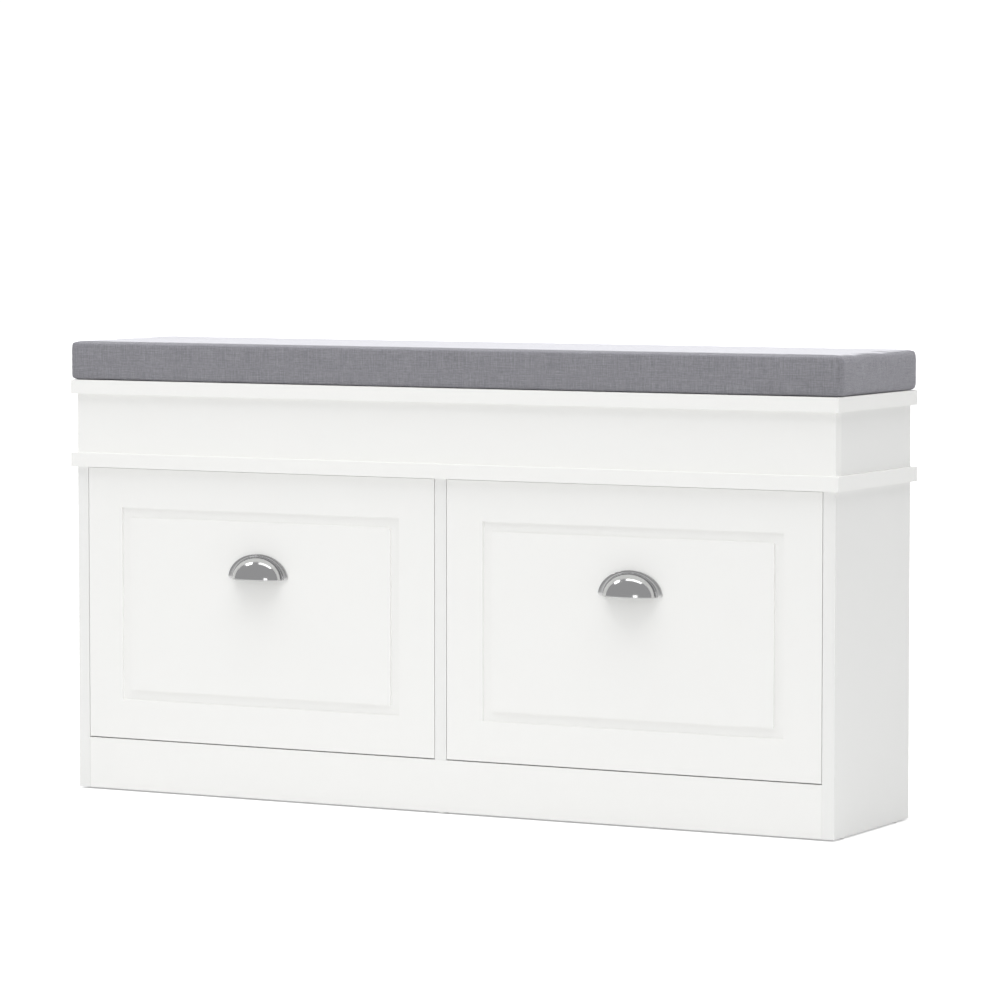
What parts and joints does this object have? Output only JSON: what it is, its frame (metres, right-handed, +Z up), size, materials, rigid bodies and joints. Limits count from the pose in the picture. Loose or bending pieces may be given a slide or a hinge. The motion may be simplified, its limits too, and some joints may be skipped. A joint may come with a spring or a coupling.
{
  "type": "entryway bench",
  "caption": "Low, shallow hallway bench with a padded seat over a frieze box and two inset tilt-out shoe flaps with cup pulls.",
  "frame": {"origin": "on the floor, under the middle of the whole bench's box", "axes": "+X to the right along the bench, +Y to the wall behind it, +Z up; the flaps and pulls face -Y"},
  "size_m": [1.012, 0.239, 0.542],
  "materials": {
    "white_lacquer": "satin white lacquer on board",
    "white_hardboard": "white faced hardboard",
    "raw_wood": "plain beech",
    "polished_nickel": "polished nickel",
    "zinc_steel": "zinc plated",
    "cast_zinc": "die cast",
    "white_nylon": "moulded",
    "grey_fabric": "plain woven linen look",
    "foam": "open cell foam",
    "grey_zip": "coil zip on woven tape",
    "touch_tape": "hook and loop tape"
  },
  "bodies": {
    "case": {"back_panel_nails": "zinc_steel", "bottom_board": "white_lacquer", "cam_bolts": "zinc_steel", "cam_locks": "cast_zinc", "catch_screws": "zinc_steel", "centre_partition": "white_lacquer", "foot_glides": "white_nylon", "frieze_back": "white_lacquer", "frieze_front": "white_lacquer", "frieze_left": "white_lacquer", "frieze_rib": "white_lacquer", "frieze_right": "white_lacquer", "frieze_screws": "zinc_steel", "hook_tapes": "touch_tape", "left_back_panel": "white_hardboard", "left_catch": "white_nylon", "left_side_panel": "white_lacquer", "mid_board": "white_lacquer", "mid_board_screws": "zinc_steel", "pivot_bushes": "white_nylon", "plinth_blocks": "raw_wood", "plinth_board": "white_lacquer", "rear_rail": "white_lacquer", "right_back_panel": "white_hardboard", "right_catch": "white_nylon", "right_side_panel": "white_lacquer", "stop_pegs": "white_nylon", "top_board": "white_lacquer", "wood_dowels": "raw_wood"},
    "left_flap": {"left_bracket_screws": "zinc_steel", "left_brackets": "zinc_steel", "left_cup_pull": "polished_nickel", "left_flap_front": "white_lacquer", "left_left_cheek": "white_lacquer", "left_pivot_pins": "zinc_steel", "left_pull_screws": "zinc_steel", "left_rack_back": "white_lacquer", "left_rack_bottom": "white_lacquer", "left_rack_divider": "white_lacquer", "left_rack_screws": "zinc_steel", "left_right_cheek": "white_lacquer", "left_strike_plate": "zinc_steel"},
    "right_flap": {"right_bracket_screws": "zinc_steel", "right_brackets": "zinc_steel", "right_cup_pull": "polished_nickel", "right_flap_front": "white_lacquer", "right_left_cheek": "white_lacquer", "right_pivot_pins": "zinc_steel", "right_pull_screws": "zinc_steel", "right_rack_back": "white_lacquer", "right_rack_bottom": "white_lacquer", "right_rack_divider": "white_lacquer", "right_rack_screws": "zinc_steel", "right_right_cheek": "white_lacquer", "right_strike_plate": "zinc_steel"},
    "cushion": {"cushion_cover": "grey_fabric", "cushion_foam": "foam", "cushion_zip": "grey_zip", "loop_tapes": "touch_tape"}
  },
  "joints": [
    {"name": "left_flap_tilt", "type": "hinge", "parent": "case", "child": "left_flap", "pos_m": [-0.24625, -0.0885, 0.09232], "axis": [1, 0, 0], "range_deg": [0, 40]},
    {"name": "right_flap_tilt", "type": "hinge", "parent": "case", "child": "right_flap", "pos_m": [0.24625, -0.0885, 0.09232], "axis": [1, 0, 0], "range_deg": [0, 40]},
    {"name": "cushion_lift", "type": "slide", "parent": "case", "child": "cushion", "axis": [0, 0, 1], "range_m": [0, 0.1]}
  ]
}
